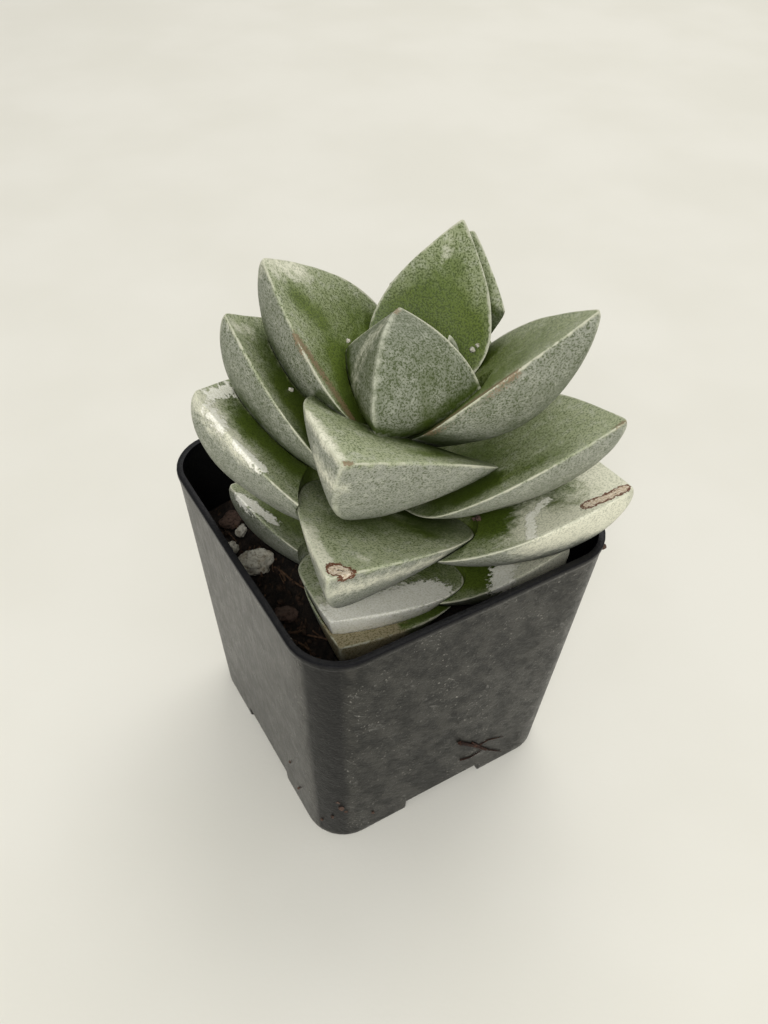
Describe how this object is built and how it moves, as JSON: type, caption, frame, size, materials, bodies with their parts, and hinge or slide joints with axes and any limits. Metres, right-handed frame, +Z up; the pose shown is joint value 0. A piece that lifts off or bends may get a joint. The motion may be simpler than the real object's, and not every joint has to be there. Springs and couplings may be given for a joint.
{
  "type": "potted succulent",
  "caption": "Stocky succulent with thick keeled grey-green leaves in crossed opposite pairs, growing in gritty soil in a small square tapered nursery pot.",
  "frame": {"origin": "centre of the pot's underside, on its flat base", "axes": "+Z up; the pot's four sides face +X, -X, +Y and -Y, and the leaf rows point to its corners"},
  "size_m": [0.06, 0.058, 0.0998],
  "materials": {
    "pot_plastic": "satin",
    "potting_soil": "matte",
    "perlite": "matte",
    "bark": "matte",
    "stem_tissue": "matte",
    "leaf_skin": "matte"
  },
  "bodies": {
    "root": {"pot": "pot_plastic", "soil": "potting_soil", "perlite_1": "perlite", "perlite_2": "perlite", "perlite_3": "perlite", "perlite_4": "perlite", "perlite_5": "perlite", "perlite_6": "perlite", "bark_1": "bark", "bark_2": "bark", "bark_3": "bark", "stem_with_roots": "stem_tissue", "bud_leaf_right": "leaf_skin", "bud_leaf_left": "leaf_skin", "leaf_1_front": "leaf_skin", "leaf_1_back": "leaf_skin", "leaf_2_left": "leaf_skin", "leaf_2_right": "leaf_skin", "leaf_3_front": "leaf_skin", "leaf_3_back": "leaf_skin", "leaf_4_left": "leaf_skin", "leaf_4_right": "leaf_skin", "leaf_5_front": "leaf_skin", "leaf_5_back": "leaf_skin", "leaf_6_left": "leaf_skin", "leaf_6_right": "leaf_skin", "leaf_7_front": "leaf_skin", "leaf_7_back": "leaf_skin", "leaf_8_left": "leaf_skin", "leaf_8_right": "leaf_skin", "leaf_9_front": "leaf_skin", "leaf_9_back": "leaf_skin"}
  },
  "joints": []
}
